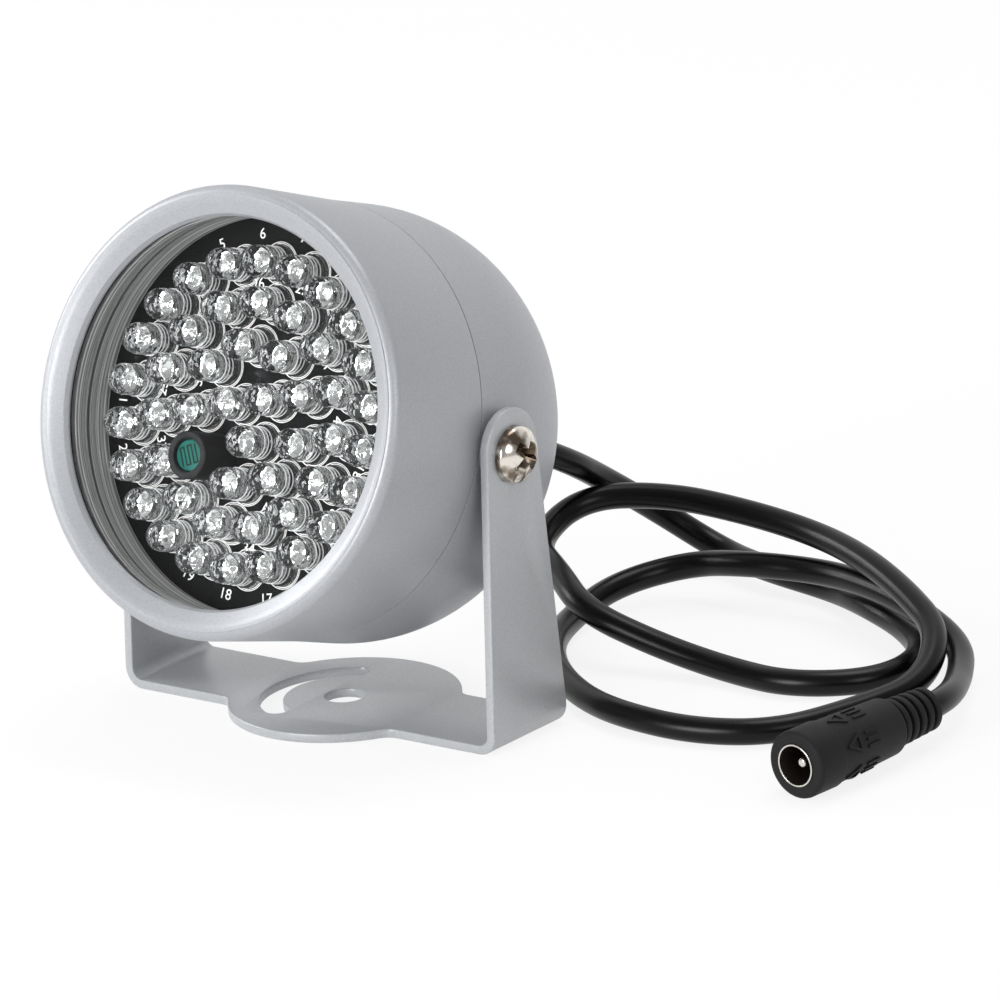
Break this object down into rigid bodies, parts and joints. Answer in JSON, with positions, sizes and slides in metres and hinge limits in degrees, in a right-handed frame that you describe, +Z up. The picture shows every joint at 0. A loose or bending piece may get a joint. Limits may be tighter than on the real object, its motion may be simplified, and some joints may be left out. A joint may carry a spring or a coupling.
{
  "type": "infrared illuminator",
  "caption": "Round tilting infrared lamp with a ring array of clear emitters behind glass, held in a folded bracket, with a free lead and low-voltage socket.",
  "frame": {"origin": "centre of the bracket's fixing hole, in the plane that the bracket stands on", "axes": "+Z up out of the surface that the bracket is fixed to; the lamp looks along -Y; +X along the tilt axis"},
  "size_m": [0.1365, 0.1185, 0.0885],
  "materials": {
    "bracket_paint": "silver-grey metallic paint on folded steel sheet, satin with a fine sparkle",
    "housing_paint": "silver-grey metallic paint on a turned and cast light-metal housing, satin with a fine sparkle",
    "clear_glass": "polished clear float glass",
    "seal_rubber": "matt black seal rubber",
    "sleeve_metal": "turned grooves under silver-grey paint",
    "board_black": "glossy black solder mask with thin white rings",
    "led_epoxy": "clear moulded epoxy over a metal lead frame and reflector cup",
    "sensor_face": "ceramic disc with a meandering track under clear resin",
    "sensor_sleeve": "matt black shrink sleeve",
    "screw_nickel": "nickel plate, bright, slightly warm",
    "washer_nylon": "dark nylon",
    "cord_pvc": "satin black flexible sheath",
    "socket_black": "matt charcoal moulding",
    "contact_nickel": "bright nickel",
    "insulator_black": "matt black",
    "header_white": "off-white moulding",
    "component_black": "matt black moulding",
    "lead_red": "red insulation",
    "lead_black": "black insulation"
  },
  "bodies": {
    "bracket": {"bracket": "bracket_paint", "power_cord": "cord_pvc", "socket_body": "socket_black", "socket_contact": "contact_nickel", "socket_insulator": "insulator_black", "socket_pin": "contact_nickel"},
    "head": {"front_shell": "housing_paint", "rear_shell": "housing_paint", "glass_gasket": "seal_rubber", "front_glass": "clear_glass", "spacer_sleeve": "sleeve_metal", "shell_seal": "seal_rubber", "led_board": "board_black", "lead_header": "header_white", "polarity_diode": "component_black", "switch_transistor": "component_black", "string_resistors": "component_black", "leds_outer": "led_epoxy", "leds_middle": "led_epoxy", "leds_inner": "led_epoxy", "leds_centre": "led_epoxy", "light_sensor": "sensor_face", "light_sensor_sleeve": "sensor_sleeve", "pivot_screw_left": "screw_nickel", "pivot_screw_right": "screw_nickel", "pivot_washer_left": "washer_nylon", "pivot_washer_right": "washer_nylon", "cord_grommet": "seal_rubber", "cord_tail": "cord_pvc", "lead_red": "lead_red", "lead_black": "lead_black"}
  },
  "joints": [
    {"name": "head_tilt", "type": "hinge", "parent": "bracket", "child": "head", "pos_m": [0, 0, 0.0466], "axis": [1, 0, 0], "range_deg": [-71, 109], "deforming": ["power_cord"]}
  ]
}
